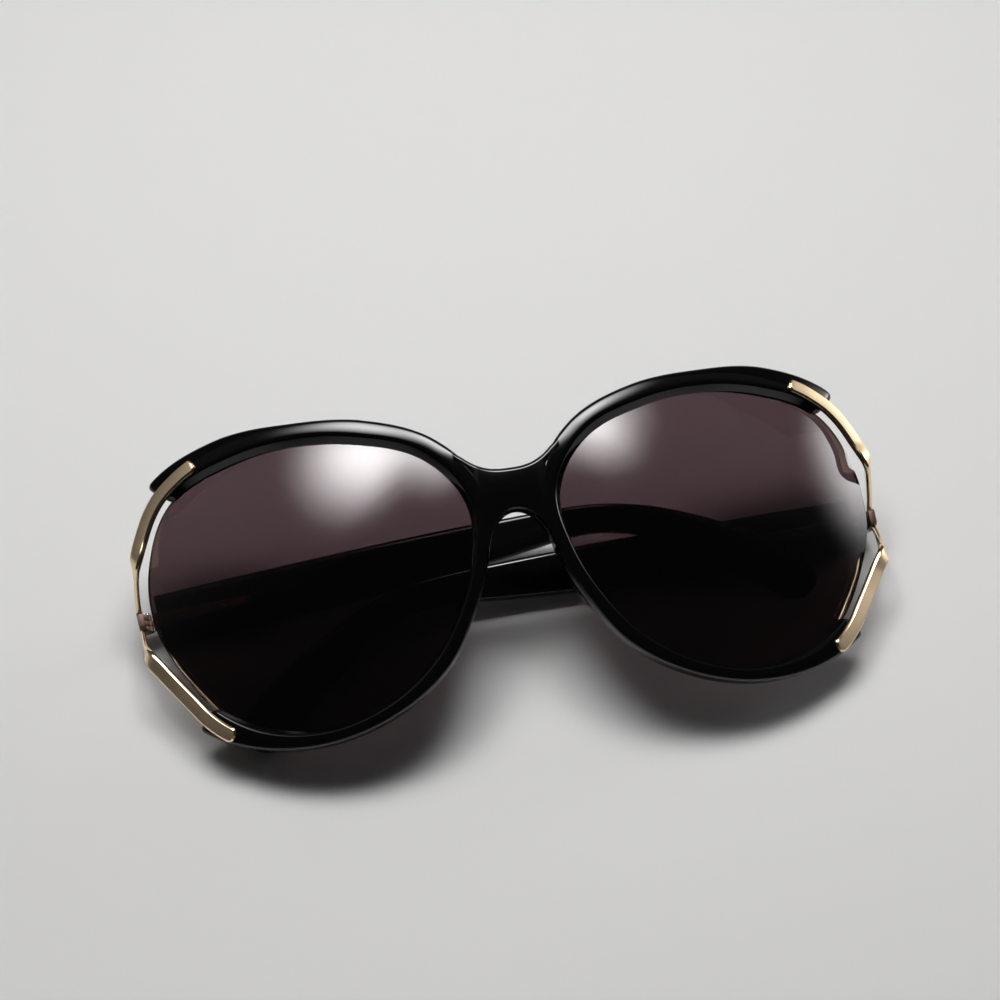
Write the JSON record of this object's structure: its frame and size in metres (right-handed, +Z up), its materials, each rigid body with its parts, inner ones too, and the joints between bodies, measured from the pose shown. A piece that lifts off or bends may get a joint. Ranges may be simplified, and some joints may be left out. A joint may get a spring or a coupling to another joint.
{
  "type": "sunglasses",
  "caption": "Round oversized sunglasses with rims open at the outer sides, twisted metal bars to the hinges, and folding temples, lying folded with the front up.",
  "frame": {"origin": "middle of the underside of the bounding box, on the table that the folded glasses lie on", "axes": "+X along the front's width, towards the viewer's right; +Z up from the table; the front leans towards -Y"},
  "size_m": [0.1416, 0.0582, 0.0364],
  "materials": {
    "black_acetate": "polished black cellulose acetate",
    "pad_acetate": "polished black cellulose acetate",
    "tinted_lens": "brown-grey gradient tint, darker towards the bottom",
    "gold_metal": "pale gold plating, fine brushed faces and polished edges",
    "steel": "plain stainless steel"
  },
  "bodies": {
    "front": {"front_frame": "black_acetate", "lens_left": "tinted_lens", "lens_right": "tinted_lens", "nose_pad_left": "pad_acetate", "nose_pad_right": "pad_acetate", "bar_upper_left": "gold_metal", "bar_lower_left": "gold_metal", "bar_upper_right": "gold_metal", "bar_lower_right": "gold_metal", "hinge_block_left": "gold_metal", "hinge_block_right": "gold_metal", "bar_screws": "steel", "hinge_screw_left": "steel", "hinge_screw_right": "steel"},
    "temple_left_arm": {"temple_left": "black_acetate", "core_wire_left": "steel", "hinge_tongue_left": "gold_metal", "tongue_rivets_left": "gold_metal"},
    "temple_right_arm": {"temple_right": "black_acetate", "core_wire_right": "steel", "hinge_tongue_right": "gold_metal", "tongue_rivets_right": "gold_metal"}
  },
  "joints": [
    {"name": "temple_fold_left", "type": "hinge", "parent": "front", "child": "temple_left_arm", "pos_m": [-0.06937, 0.00737, 0.00439], "axis": [-0.1034, 0.9211, 0.3754], "range_deg": [0, 90]},
    {"name": "temple_fold_right", "type": "hinge", "parent": "front", "child": "temple_right_arm", "pos_m": [0.0695, 0.00737, 0.00461], "axis": [0.018, -0.9259, -0.3774], "range_deg": [0, 90]}
  ]
}
